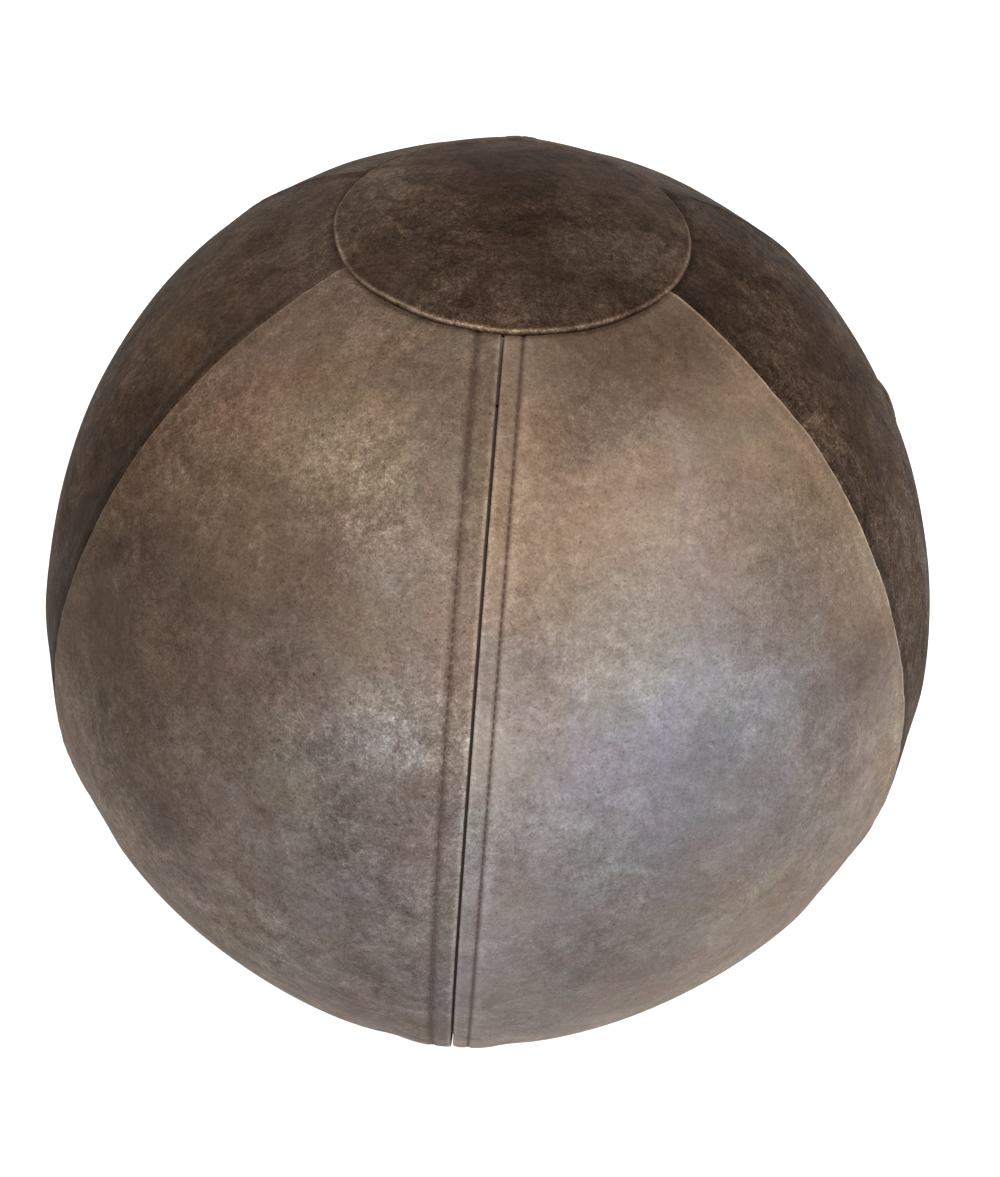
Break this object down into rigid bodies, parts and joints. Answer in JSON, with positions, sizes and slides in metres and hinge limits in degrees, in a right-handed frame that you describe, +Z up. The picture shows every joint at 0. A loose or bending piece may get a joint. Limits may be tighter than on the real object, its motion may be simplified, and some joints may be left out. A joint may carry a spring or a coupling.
{
  "type": "sitting ball",
  "caption": "Suede-look cover of curved gores and round caps, with a concealed zip and a carry handle, over an inflated inner ball with a plugged valve.",
  "frame": {"origin": "middle of the flat patch that the ball rests on", "axes": "+Z up through both caps; -Y towards the zip; +X to the right when facing the zip"},
  "size_m": [0.64, 0.6526, 0.6835],
  "materials": {
    "gore_cloth": "distressed suede-look microfibre",
    "cap_cloth": "distressed suede-look microfibre, darker",
    "handle_cloth": "folded suede-look microfibre",
    "topstitch_thread": "twisted polyester thread",
    "hidden_thread": "polyester thread",
    "ball_vinyl": "matt soft vinyl",
    "valve_rubber": "moulded rubber",
    "valve_plastic": "moulded plastic",
    "zip_tape": "woven polyester tape",
    "zip_coil": "nylon monofilament",
    "zip_metal": "antique nickel, die cast"
  },
  "bodies": {
    "ball": {"gore_front_left": "gore_cloth", "gore_front_right": "gore_cloth", "gore_right": "gore_cloth", "gore_back_right": "gore_cloth", "gore_back_left": "gore_cloth", "gore_left": "gore_cloth", "top_cap": "cap_cloth", "bottom_cap": "cap_cloth", "gore_seam_threads": "hidden_thread", "top_cap_thread": "hidden_thread", "bottom_cap_thread": "hidden_thread", "inner_ball": "ball_vinyl", "valve_seat": "valve_rubber", "valve_plug": "valve_plastic", "zip_tape_left": "zip_tape", "zip_tape_right": "zip_tape", "zip_coil_left": "zip_coil", "zip_coil_right": "zip_coil", "zip_top_stops": "zip_metal", "zip_bottom_stop": "zip_metal", "topstitch_left": "topstitch_thread", "topstitch_right": "topstitch_thread", "handle_strap": "handle_cloth", "handle_stitching": "topstitch_thread"},
    "slider": {"zip_slider": "zip_metal"},
    "pull_tab": {"zip_pull_tab": "zip_metal"}
  },
  "joints": [
    {"name": "zip_run", "type": "hinge", "parent": "ball", "child": "slider", "pos_m": [0, 0.028, 0.33966], "axis": [-1, 0, 0], "range_deg": [0, 110]},
    {"name": "tab_swing", "type": "hinge", "parent": "slider", "child": "pull_tab", "pos_m": [0, -0.19148, 0.05874], "axis": [-1, 0, 0], "range_deg": [-48, 124]}
  ]
}
